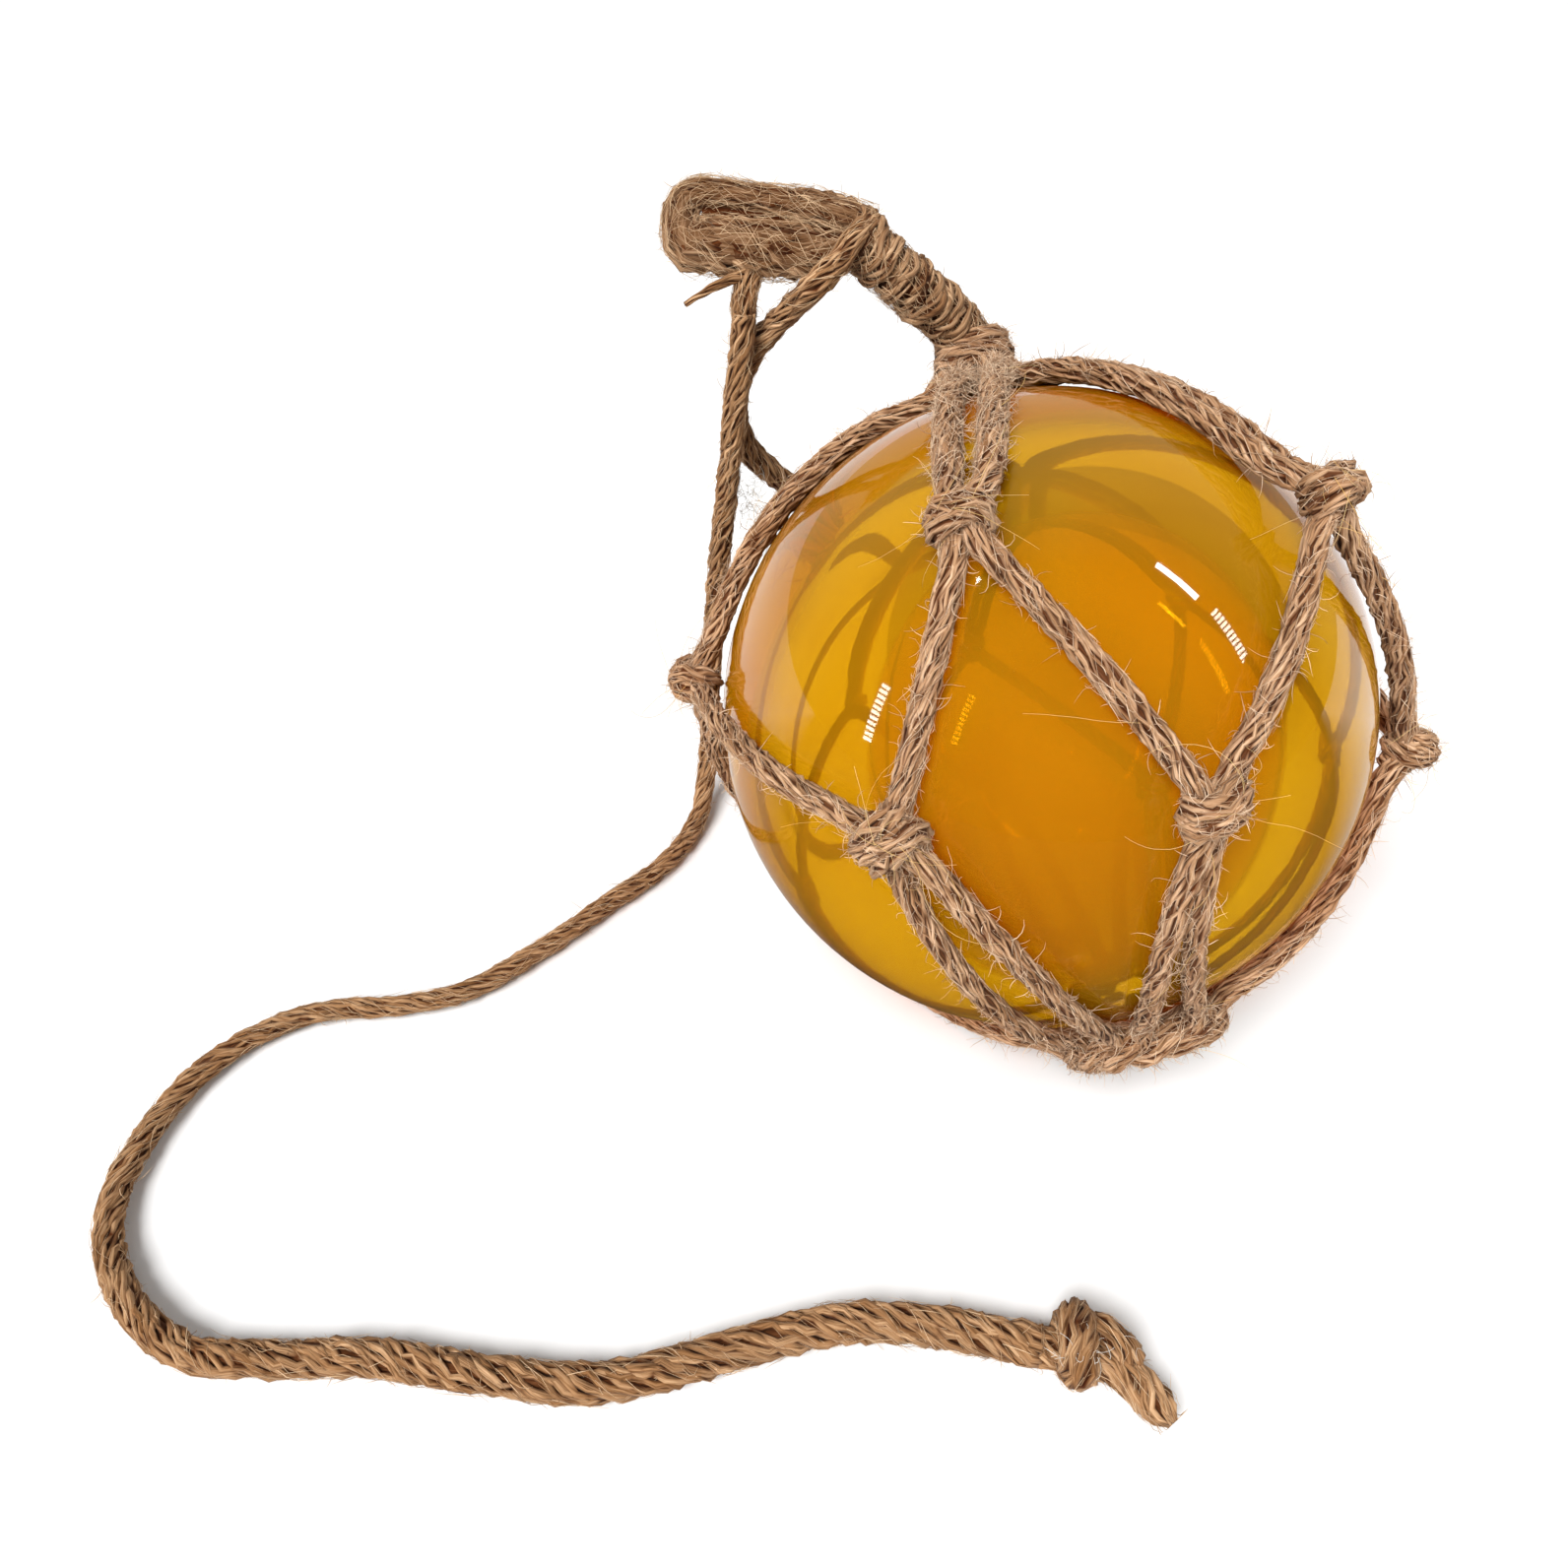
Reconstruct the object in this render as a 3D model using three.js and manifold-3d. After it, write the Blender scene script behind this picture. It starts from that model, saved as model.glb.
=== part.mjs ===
// A glass float ball in a knotted jute net, with a served hanging eye and a loose tail cord.
// Millimetres, +Z up. The origin is the middle of the small flat that the ball rests on.
import * as THREE from 'three';
import { mergeVertices } from 'three/addons/utils/BufferGeometryUtils.js';
import Module from 'manifold-3d';

const wasm = await Module();
wasm.setup();

// ---- driving dimensions ----------------------------------------------------------------
const BALL_RADIUS = 50;
const FLAT_DEPTH = 1;               // how much is ground off under the ball
const GAP = 0.3;                    // clearance between pieces that touch
const TWINE_RADIUS = 1.85;          // net twine, about 3.7 mm thick
const STRAND_STEP = 6;              // length of one facet along a net strand
const ORBIT = BALL_RADIUS + GAP + TWINE_RADIUS;   // radius on which the strands lie

// The net hangs round its own axis, which leans over because the ball has rolled to one side.
const NET_AZIMUTH = 104.4;          // degrees from +X towards +Y
const NET_LEAN = 44.6;              // degrees from upright
// Latitude and longitude of each knot about the net's axis, and how far it stands off the glass.
// Longitude 0 faces the table.
const UPPER_KNOTS = [[26, 5, 0], [15, 84, 0.6], [27, 152, 0], [21, 207, 3], [26, 291, 0]];
const LOWER_KNOTS = [[-20, 44, 0], [-13.5, 135.3, 0], [-16, 179, 0], [-16, 249, 2.2], [-20, 314, 0]];
const TOP_GATHER = [90, 0, 0];
const BOTTOM_GATHER = [-78, 205, 0];
// Where each pair of strands reaches the bottom gather: degrees round the gather's middle.
const ARRIVALS = [148, 82, 30, -50, -115];

const KNOT_HALF_WIDTH = 4.9;
const KNOT_HALF_LENGTH = 5.6;
const KNOT_HALF_HEIGHT = 4.3;
const KNOT_WRAPS = 3;               // turns of twine that show on a knot
const KNOT_REACH = 6.3;             // a strand ends this far from a knot's middle
const PAIR_OFFSET = 2.3;            // half the distance between two strands of a pair
const RING_OFFSET = 4.0;            // the same where a pair has opened out at the bottom gather
const KNOT_LIFT = 1.3;              // strands rise this much where they meet a knot

const TOP_GATHER_RADIUS = 7.7;
const TOP_GATHER_HEIGHT = 9.5;
const BOTTOM_GATHER_RADIUS = 12.6;
const BOTTOM_GATHER_HEIGHT = 7.5;

const NECK_RADIUS = 4.2;
const SERVING_PITCH = 2.2;          // distance between the turns that bind the neck
const SERVING_RELIEF = 0.28;

const EYE_BUNDLE_RADIUS = 2.95;
const EYE_HALF_SPREAD = 4.1;        // from the eye's middle line to the middle of a leg
const EYE_LENGTH = 23.5;

const RAD = Math.PI / 180;
const ballCentre = new THREE.Vector3(0, 0, BALL_RADIUS - FLAT_DEPTH);

// ---- routes of the cords (mm) ------------------------------------------------------------
// The neck climbs from the top gather to the root of the eye.
const NECK_ROUTE = [
  [-9.6, 39.6, 88.6], [-11.6, 40.6, 92.8], [-15.4, 39.8, 96.8], [-20.0, 39.0, 100.6],
  [-24.4, 39.4, 104.0], [-27.9, 40.2, 106.8], [-30.6, 41.0, 108.5],
];
// The side cord leaves the neck, hangs behind the tail cord and ends at a knot at the back.
const SIDE_CORD_ROUTE = [
  [-30.5, 34.5, 107.0], [-34.9, 32.8, 105.0], [-39.0, 35.3, 99.9], [-43.4, 38.2, 93.2],
  [-46.2, 40.2, 86.6], [-46.9, 41.2, 79.5], [-45.4, 42.3, 72.8], [-41.4, 44.2, 65.9],
  [-36.9, 46.8, 59.5], [-32.0, 49.6, 52.0], [-28.2, 51.4, 44.0], [-26.0, 51.8, 37.5],
];
// The tail cord hangs from the eye to the table and lies there in one long open curve.
const TAIL_ROUTE = [
  [-46.4, 35.0, 99.4], [-46.9, 35.0, 93.6], [-48.1, 35.0, 84.5], [-49.9, 35.0, 69.0],
  [-51.8, 34.8, 55.0], [-53.4, 34.3, 40.0], [-54.6, 33.2, 25.0], [-55.4, 31.0, 13.4],
  [-56.3, 26.2, 5.4], [-58.0, 18.6, 2.6], [-63.2, 8.8, 2.4], [-72.6, -0.8, 2.4],
  [-83.0, -10.8, 2.4], [-96.2, -21.2, 2.4], [-108.2, -24.4, 2.5], [-119.6, -25.4, 2.5],
  [-128.6, -29.2, 2.5], [-137.0, -37.6, 2.6], [-141.9, -49.0, 2.6], [-142.6, -62.4, 2.7],
  [-136.2, -74.0, 2.7], [-124.2, -82.4, 2.8], [-111.5, -83.5, 2.8], [-97.8, -83.3, 2.9],
  [-81.4, -85.6, 2.9], [-64.6, -86.6, 3.0], [-47.9, -82.4, 3.0], [-31.3, -78.6, 3.1],
  [-19.0, -79.2, 3.2], [-4.4, -82.0, 3.3],
];
const TAIL_RADIUS_AT_EYE = 2.0;
const TAIL_RADIUS_AT_KNOT = 3.0;    // the lay loosens and swells towards the end knot

// ---- materials ----------------------------------------------------------------------------
const glass = new THREE.MeshStandardMaterial({ color: 0xc98a0c, roughness: 0.06, metalness: 0 });
const jute = new THREE.MeshStandardMaterial({ color: 0xa98660, roughness: 0.95, metalness: 0 });
const tan = new THREE.MeshStandardMaterial({ color: 0xa67c4e, roughness: 0.9, metalness: 0 });

// ---- helpers ------------------------------------------------------------------------------
function addPiece(parent, name, geometry, material) {
  const piece = new THREE.Mesh(geometry, material);
  piece.name = name;
  parent.add(piece);
  return piece;
}

function vectors(points) {
  return points.map(([x, y, z]) => new THREE.Vector3(x, y, z));
}

// A section with corners on radius 1 and, between them, corners on the radius of the grooves.
function section(sides, groove = 1) {
  const outline = new THREE.Shape();
  for (let i = 0; i < sides; i += 1) {
    const angle = (i / sides) * 2 * Math.PI;
    const radius = i % 2 ? groove : 1;
    const x = radius * Math.cos(angle);
    const y = radius * Math.sin(angle);
    if (i === 0) outline.moveTo(x, y);
    else outline.lineTo(x, y);
  }
  outline.closePath();
  return outline;
}

// A cord: a section drawn 1 mm in radius along the route, then swelled to radiusAt(0..1).
function cord(route, steps, outline, radiusAt) {
  const curve = new THREE.CatmullRomCurve3(route, false, 'centripetal');
  const geometry = new THREE.ExtrudeGeometry(outline, {
    steps, bevelEnabled: false, extrudePath: curve,
  });
  const stations = curve.getSpacedPoints(steps);
  const position = geometry.attributes.position;
  const corner = new THREE.Vector3();
  for (let i = 0; i < position.count; i += 1) {
    corner.fromBufferAttribute(position, i);
    let nearest = 0;
    stations.forEach((station, k) => {
      if (corner.distanceTo(station) < corner.distanceTo(stations[nearest])) nearest = k;
    });
    corner.sub(stations[nearest]).multiplyScalar(radiusAt(nearest / steps)).add(stations[nearest]);
    position.setXYZ(i, corner.x, corner.y, corner.z);
  }
  return geometry;
}

// A turned form round the local Z axis, from pairs of radius and height.
function turned(profile, segments) {
  const points = profile.map(([radius, height]) => new THREE.Vector2(radius, height));
  return new THREE.LatheGeometry(points, segments).rotateX(Math.PI / 2);
}

function toSolid(geometry) {
  const bare = geometry.clone();
  bare.deleteAttribute('normal');
  bare.deleteAttribute('uv');
  const merged = mergeVertices(bare, 1e-4);
  return new wasm.Manifold(new wasm.Mesh({
    numProp: 3,
    vertProperties: new Float32Array(merged.attributes.position.array),
    triVerts: new Uint32Array(merged.index.array),
  }));
}

function toGeometry(solid) {
  const mesh = solid.getMesh();
  const geometry = new THREE.BufferGeometry();
  geometry.setAttribute('position', new THREE.BufferAttribute(mesh.vertProperties, 3));
  geometry.setIndex(new THREE.BufferAttribute(mesh.triVerts, 1));
  return geometry;
}

// ---- the glass ball -----------------------------------------------------------------------
function ballGeometry() {
  const rings = 20;
  const flatAngle = Math.acos(1 - FLAT_DEPTH / BALL_RADIUS);
  const profile = [[0, -BALL_RADIUS * Math.cos(flatAngle)]];
  for (let i = 0; i < rings; i += 1) {
    const angle = flatAngle + ((Math.PI - flatAngle) * i) / rings;
    profile.push([BALL_RADIUS * Math.sin(angle), -BALL_RADIUS * Math.cos(angle)]);
  }
  profile.push([0, BALL_RADIUS]);
  return turned(profile, 32);
}

// ---- the net ------------------------------------------------------------------------------
// A place on the net: its direction from the ball's centre, and its height off the glass.
function place([latitude, longitude, standOff]) {
  const along = Math.cos(latitude * RAD);
  const outward = new THREE.Vector3(
    along * Math.cos(longitude * RAD), along * Math.sin(longitude * RAD), Math.sin(latitude * RAD),
  );
  return { outward, standOff };
}

// A strand along the great circle between two places, beside that circle by the offsets.
function strandGeometry(from, to, reachFrom, reachTo, offsetFrom, offsetTo) {
  const side = new THREE.Vector3().crossVectors(from.outward, to.outward).normalize();
  const first = reachFrom / ORBIT;
  const last = from.outward.angleTo(to.outward) - reachTo / ORBIT;
  const steps = Math.round(((last - first) * ORBIT) / STRAND_STEP);
  const route = [];
  for (let i = 0; i <= steps; i += 1) {
    const along = i / steps;
    const near = along < 0.5 ? from : to;
    const lift = (KNOT_LIFT + near.standOff) * Math.cos(Math.PI * along) ** 4;
    const beside = offsetFrom + (offsetTo - offsetFrom) * along;
    route.push(from.outward.clone()
      .applyAxisAngle(side, first + (last - first) * along)
      .multiplyScalar(ORBIT + lift)
      .addScaledVector(side, beside));
  }
  return cord(route, steps, section(6), () => TWINE_RADIUS);
}

// A knot: turns of twine round the strands, a little flattened against the glass.
function knotGeometry() {
  const profile = [[0, -KNOT_HALF_LENGTH]];
  const rows = KNOT_WRAPS * 2;
  for (let i = 0; i <= rows; i += 1) {
    const height = (0.86 * KNOT_HALF_LENGTH * (2 * i - rows)) / rows;
    const barrel = KNOT_HALF_WIDTH * Math.sqrt(1 - (height / (1.12 * KNOT_HALF_LENGTH)) ** 2);
    profile.push([i % 2 ? barrel : barrel * 0.87, height]);
  }
  profile.push([0, KNOT_HALF_LENGTH]);
  return turned(profile, 12).scale(1, KNOT_HALF_HEIGHT / KNOT_HALF_WIDTH, 1);
}

// Puts a knot on the glass: its length runs up the net and its flat side faces the ball.
function placeKnot(knot, { outward, standOff }) {
  const east = new THREE.Vector3(-outward.y, outward.x, 0).normalize();
  const north = new THREE.Vector3().crossVectors(outward, east);
  const across = new THREE.Vector3().crossVectors(outward, north);
  knot.quaternion.setFromRotationMatrix(new THREE.Matrix4().makeBasis(across, outward, north));
  knot.position.copy(outward).multiplyScalar(BALL_RADIUS + GAP + KNOT_HALF_HEIGHT + standOff);
}

// A gather: strands drawn together over one spot of the glass, with a hollow underside.
function gatherGeometry(radius, height, crown, spot) {
  const under = (r) => Math.sqrt((BALL_RADIUS + GAP) ** 2 - r * r);
  const middle = radius * 0.6;
  const solid = turned([
    [0, under(0)], [middle, under(middle) + GAP], [radius * 0.94, under(radius * 0.94) + GAP],
    [radius, BALL_RADIUS + 2.2], [radius * 0.9, BALL_RADIUS + height * 0.55],
    [crown * 1.25, BALL_RADIUS + height * 0.85], [crown, BALL_RADIUS + height],
    [0, BALL_RADIUS + height],
  ], 20);
  const up = new THREE.Vector3(0, 0, 1);
  return solid.applyQuaternion(new THREE.Quaternion().setFromUnitVectors(up, spot.outward));
}

const topSpot = place(TOP_GATHER);
const bottomSpot = place(BOTTOM_GATHER);

// The place beside the bottom gather where a pair of strands arrives.
function arrival(angle) {
  const across = place([90 + BOTTOM_GATHER[0], BOTTOM_GATHER[1], 0]).outward;
  const reach = (BOTTOM_GATHER_RADIUS + GAP) / ORBIT;
  const outward = bottomSpot.outward.clone()
    .multiplyScalar(Math.cos(reach)).addScaledVector(across, Math.sin(reach))
    .applyAxisAngle(bottomSpot.outward, angle * RAD);
  return { outward, standOff: 0 };
}

const TOP_GATHER_SIZE = [TOP_GATHER_RADIUS, TOP_GATHER_HEIGHT, 4.6];
const BOTTOM_GATHER_SIZE = [BOTTOM_GATHER_RADIUS, BOTTOM_GATHER_HEIGHT, 7.5];
const TOP_REACH = TOP_GATHER_RADIUS + GAP;

function netGroup() {
  const net = new THREE.Group();
  net.position.copy(ballCentre);
  net.rotation.set(0, NET_LEAN * RAD, NET_AZIMUTH * RAD, 'ZYX');
  const upper = UPPER_KNOTS.map(place);
  const lower = LOWER_KNOTS.map(place);

  addPiece(net, 'top_gather', gatherGeometry(...TOP_GATHER_SIZE, topSpot), jute);
  addPiece(net, 'bottom_gather', gatherGeometry(...BOTTOM_GATHER_SIZE, bottomSpot), jute);

  for (let i = 0; i < upper.length; i += 1) {
    placeKnot(addPiece(net, `upper_knot_${i + 1}`, knotGeometry(), jute), upper[i]);
    placeKnot(addPiece(net, `lower_knot_${i + 1}`, knotGeometry(), jute), lower[i]);
    for (const [letter, sign] of [['a', 1], ['b', -1]]) {
      const near = sign * PAIR_OFFSET;
      const far = sign * RING_OFFSET;
      addPiece(net, `upper_strand_${i + 1}${letter}`,
        strandGeometry(topSpot, upper[i], TOP_REACH, KNOT_REACH, near, near), jute);
      addPiece(net, `lower_strand_${i + 1}${letter}`,
        strandGeometry(lower[i], arrival(ARRIVALS[i]), KNOT_REACH, 0, near, far), jute);
    }
    const next = (i + 1) % upper.length;
    addPiece(net, `middle_strand_${i + 1}a`,
      strandGeometry(upper[i], lower[i], KNOT_REACH, KNOT_REACH, 0, 0), jute);
    addPiece(net, `middle_strand_${i + 1}b`,
      strandGeometry(upper[next], lower[i], KNOT_REACH, KNOT_REACH, 0, 0), jute);
  }
  return net;
}

// ---- neck, eye and hitch ------------------------------------------------------------------
// The neck grows out of the top gather: what lies inside the gather is cut off.
function neckGeometry(net) {
  const route = vectors(NECK_ROUTE);
  const length = new THREE.CatmullRomCurve3(route, false, 'centripetal').getLength();
  const steps = 2 * Math.round(length / SERVING_PITCH);
  const neck = cord(route, steps, section(10), (along) => {
    const turn = Math.round(along * steps) % 2 ? SERVING_RELIEF : 0;
    const root = 0.5 * Math.max(0, 4 * along - 3);
    return NECK_RADIUS + turn + root;
  });
  const swelled = TOP_GATHER_SIZE.map((size) => size + GAP);
  const gather = gatherGeometry(...swelled, topSpot).applyMatrix4(net.matrixWorld);
  return toGeometry(toSolid(neck).subtract(toSolid(gather)));
}

// The eye is one bundle of twines bent back on itself beyond the neck's end.
function eyeGeometry() {
  const root = new THREE.Vector3(...NECK_ROUTE[NECK_ROUTE.length - 1]);
  const out = new THREE.Vector3(-1, 0.05, 0.02).normalize();
  const up = new THREE.Vector3(0, 1, 1).normalize();
  const at = (along, beside) => root.clone()
    .addScaledVector(out, along)
    .addScaledVector(up, beside * EYE_HALF_SPREAD);
  const half = [[2.9, 0.78], [6, 0.92], [12, 1], [EYE_LENGTH - 4.6, 1], [EYE_LENGTH - 1.2, 0.72]];
  const route = half.map(([along, beside]) => at(along, beside));
  route.push(at(EYE_LENGTH, 0));
  half.slice().reverse().forEach(([along, beside]) => route.push(at(along, -beside)));
  return cord(route, 26, section(12, 0.9), () => EYE_BUNDLE_RADIUS);
}

// The tail cord is hitched under the eye, and the end of the hitch sticks out as a thin stub.
function hitchGeometry() {
  const lump = new THREE.SphereGeometry(1, 10, 7).scale(3.2, 2.5, 2.4);
  lump.translate(-46.2, 35.0, 101.9);
  const stub = cord(
    vectors([[-46.9, 34.0, 102.6], [-49.8, 32.0, 103.9], [-54.0, 29.8, 103.4]]),
    4, section(6), (along) => 1.0 - 0.45 * along,
  );
  return toGeometry(toSolid(lump).add(toSolid(stub)));
}

// ---- tail cord, side cord and end knot ------------------------------------------------------
function tailGeometry() {
  return cord(vectors(TAIL_ROUTE), 78, section(8), (along) => (
    TAIL_RADIUS_AT_EYE + (TAIL_RADIUS_AT_KNOT - TAIL_RADIUS_AT_EYE) * along ** 2
  ));
}

// An overhand knot: the cord runs through one turn of itself, and its short end lies beyond.
function endKnotGeometry() {
  const core = cord(
    vectors([[-3.8, -82.1, 3.3], [0.1, -82.6, 4.0], [4.3, -83.7, 4.2], [8.7, -86.5, 3.5],
      [12.4, -91.2, 3.0]]),
    8, section(8), (along) => 3.1 - 0.5 * along ** 4,
  );
  const turn = new THREE.TorusGeometry(3.3, 2.5, 8, 14).rotateY(Math.PI / 2).rotateZ(-0.45);
  turn.translate(2.5, -82.9, 5.9);
  const bight = new THREE.TorusGeometry(2.6, 2.3, 8, 12).rotateY(Math.PI / 2).rotateZ(0.55);
  bight.translate(5.5, -83.5, 5.2);
  return toGeometry(toSolid(core).add(toSolid(turn)).add(toSolid(bight)));
}

const float = new THREE.Group();
const ball = addPiece(float, 'glass_ball', ballGeometry(), glass);
ball.position.copy(ballCentre);
const net = netGroup();
net.updateMatrixWorld();
float.add(net);
addPiece(float, 'served_neck', neckGeometry(net), tan);
addPiece(float, 'hanging_eye', eyeGeometry(), tan);
addPiece(float, 'tail_hitch', hitchGeometry(), tan);
addPiece(float, 'side_cord', cord(vectors(SIDE_CORD_ROUTE), 16, section(8), () => 2.1), tan);
addPiece(float, 'tail_cord', tailGeometry(), tan);
addPiece(float, 'end_knot', endKnotGeometry(), tan);

export default float;
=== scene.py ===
"""An amber glass float ball in a knotted jute net, with a hanging eye and a long tail cord.

Routes and sizes are in millimetres, as in the part's source; meshes are made in metres.
"""
import math

import bmesh
import bpy
import numpy as np
from mathutils import Matrix, Vector


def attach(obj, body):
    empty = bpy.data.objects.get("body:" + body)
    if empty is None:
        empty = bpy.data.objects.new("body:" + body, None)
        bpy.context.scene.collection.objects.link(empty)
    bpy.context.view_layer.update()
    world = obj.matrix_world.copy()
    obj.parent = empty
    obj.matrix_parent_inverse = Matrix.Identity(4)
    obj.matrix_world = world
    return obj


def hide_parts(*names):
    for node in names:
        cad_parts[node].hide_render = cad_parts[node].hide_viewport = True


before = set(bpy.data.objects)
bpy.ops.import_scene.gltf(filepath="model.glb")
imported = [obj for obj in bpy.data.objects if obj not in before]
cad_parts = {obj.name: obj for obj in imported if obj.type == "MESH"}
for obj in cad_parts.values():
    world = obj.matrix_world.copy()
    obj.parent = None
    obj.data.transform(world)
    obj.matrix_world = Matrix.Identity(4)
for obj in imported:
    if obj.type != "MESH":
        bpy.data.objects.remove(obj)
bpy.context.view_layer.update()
scene = bpy.context.scene
MM = 0.001

# ---- sizes and routes, those of the solids except where a comment says otherwise ----
BALL_RADIUS = 50.0
BALL_CENTRE = np.array([0.0, 0.0, 49.0])
TWINE = 1.85                     # radius of the net twine
ORBIT = BALL_RADIUS + 0.3 + TWINE
NET_AZIMUTH, NET_LEAN = 104.4, 44.6
# latitude, longitude and stand-off of each knot about the net's axis
UPPER_KNOTS = [(26, 5, 0), (15, 84, 0.6), (27, 152, 0), (21, 207, 3), (26, 291, 0)]
LOWER_KNOTS = [(-20, 44, 0), (-13.5, 135.3, 0), (-16, 179, 0), (-16, 249, 2.2), (-20, 314, 0)]
RING_PLACE = (-78, 205)
ARRIVALS = (148, 82, 30, -50, -115)

TAIL_ROUTE = [
    (-46.4, 35.0, 99.4), (-46.9, 35.0, 93.6), (-48.1, 35.0, 84.5), (-49.9, 35.0, 69.0),
    (-51.8, 34.8, 55.0), (-53.4, 34.3, 40.0), (-54.6, 33.2, 25.0), (-55.4, 31.0, 13.4),
    (-56.3, 26.2, 5.4), (-58.0, 18.6, 2.6), (-63.2, 8.8, 2.4), (-72.6, -0.8, 2.4),
    (-83.0, -10.8, 2.4), (-96.2, -21.2, 2.4), (-108.2, -24.4, 2.5), (-119.6, -25.4, 2.5),
    (-128.6, -29.2, 2.5), (-137.0, -37.6, 2.6), (-141.9, -49.0, 2.6), (-142.6, -62.4, 2.7),
    (-136.2, -74.0, 2.7), (-124.2, -82.4, 2.8), (-111.5, -83.5, 2.8), (-97.8, -83.3, 2.9),
    (-81.4, -85.6, 2.9), (-64.6, -86.6, 3.0), (-47.9, -82.4, 3.0), (-31.3, -78.6, 3.1),
    (-19.0, -79.2, 3.2), (-4.4, -82.0, 3.3),
]
# this route hangs up to 2 millimetres aside of the solid's
SIDE_CORD_ROUTE = [
    (-31.9, 34.6, 107.4), (-34.9, 32.9, 105.0), (-39.0, 35.3, 99.9), (-43.9, 38.4, 93.2),
    (-47.4, 40.2, 86.6), (-48.4, 40.6, 79.5), (-46.9, 41.8, 72.8), (-42.1, 44.2, 65.9),
    (-36.9, 46.8, 59.5), (-32.0, 49.6, 52.0), (-28.2, 51.4, 44.0), (-26.0, 51.8, 37.5),
]
# the side cord's first turn, over the neck where the eye begins
SIDE_CORD_START = [
    (-27.4, 44.2, 107.5), (-27.1, 43.0, 109.8), (-28.3, 39.2, 110.6), (-30.4, 36.4, 109.2),
]
NECK_ROUTE = [
    (-9.6, 39.6, 88.6), (-11.6, 40.6, 92.8), (-15.4, 39.8, 96.8), (-20.0, 39.0, 100.6),
    (-24.4, 39.4, 104.0), (-27.9, 40.2, 106.8), (-30.6, 41.0, 108.5),
]


# ---- camera ---------------------------------------------------------
def make_camera():
    """Looks down on the float from the front."""
    data = bpy.data.cameras.new("camera")
    data.lens, data.sensor_width = 27.88, 36
    camera = bpy.data.objects.new("camera", data)
    camera.location = (-0.04032, -0.14645, 0.1791)
    camera.rotation_euler = (math.radians(45), 0, 0)
    scene.collection.objects.link(camera)
    scene.camera = camera


make_camera()


# ---- lines and frames along them ------------------------------------
def unit(v):
    """The vectors at a length of one."""
    return v / np.maximum(np.linalg.norm(v, axis=-1, keepdims=True), 1e-9)


def run_of(line):
    """Distance along the line at each of its points."""
    return np.concatenate([[0.0], np.cumsum(np.linalg.norm(np.diff(line, axis=0), axis=1))])


def spaced(line, step):
    """The same line with its points evenly spaced."""
    run = run_of(line)
    at = np.linspace(0, run[-1], max(2, int(round(run[-1] / step))) + 1)
    return np.stack([np.interp(at, run, line[:, k]) for k in range(3)], axis=1)


def smooth_line(points, step):
    """Evenly spaced points on one smooth curve through the given points."""
    p = np.array(points, float)
    p = np.vstack([2 * p[0] - p[1], p, 2 * p[-1] - p[-2]])
    u = np.linspace(0, 1, 24, endpoint=False)[:, None]
    parts = []
    for p0, p1, p2, p3 in zip(p, p[1:], p[2:], p[3:]):
        gaps = (p1 - p0, p2 - p1, p3 - p2)
        d0, d1, d2 = (max(np.linalg.norm(gap), 1e-6) ** 0.5 for gap in gaps)
        start = ((p1 - p0) / d0 - (p2 - p0) / (d0 + d1) + (p2 - p1) / d1) * d1
        end = ((p2 - p1) / d1 - (p3 - p1) / (d1 + d2) + (p3 - p2) / d2) * d1
        parts.append(
            (2 * u**3 - 3 * u**2 + 1) * p1 + (u**3 - 2 * u**2 + u) * start
            + (3 * u**2 - 2 * u**3) * p2 + (u**3 - u**2) * end
        )
    return spaced(np.vstack([*parts, p[-2:-1]]), step)


def carried_frame(line):
    """Unit tangent and two unit vectors across the line that don't twist along it."""
    tangent = unit(np.gradient(line, axis=0))
    side = np.zeros_like(line)
    start = np.cross(tangent[0], [0.0, 0.0, 1.0])
    if np.linalg.norm(start) < 0.1:
        start = np.cross(tangent[0], [0.0, 1.0, 0.0])
    side[0] = unit(start)
    for i in range(1, len(line)):
        side[i] = unit(side[i - 1] - (side[i - 1] @ tangent[i]) * tangent[i])
    return tangent, side, np.cross(tangent, side)


def drift(rng, run, wave, size):
    """A smooth random wander along a cord."""
    total = np.zeros_like(run)
    for _ in range(4):
        length = wave * rng.uniform(0.5, 2.0)
        total += np.sin(2 * math.pi * run / length + rng.uniform(0, 2 * math.pi))
    return total * size / 2


# ---- cords ----------------------------------------------------------
# every cord's line and radius by the part it belongs to, for the loose fibres later
cords = {"free": [], "net": [], "knots": [], "gathers": [], "eye": []}
PLAIN_YARNS = 13                 # the yarn sizes below are those of a cord of this many yarns
YARN_SIZE = 0.215                # a yarn's radius, as a share of its cord's
YARN_REACH = 0.79                # how far from the cord's line the yarns run, as a share too
CORE_SIZE = 0.80                 # the core's radius, as a share too; so deep in the cord, it takes the painted shade of the valleys
YARN_WANDER = 0.24               # how far the yarns wander round the cord, in radians


def remember(part, line, radius):
    """Keeps a cord's line and its radius along it for the loose fibres."""
    cords[part].append((line, np.zeros(len(line)) + radius))


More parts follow.
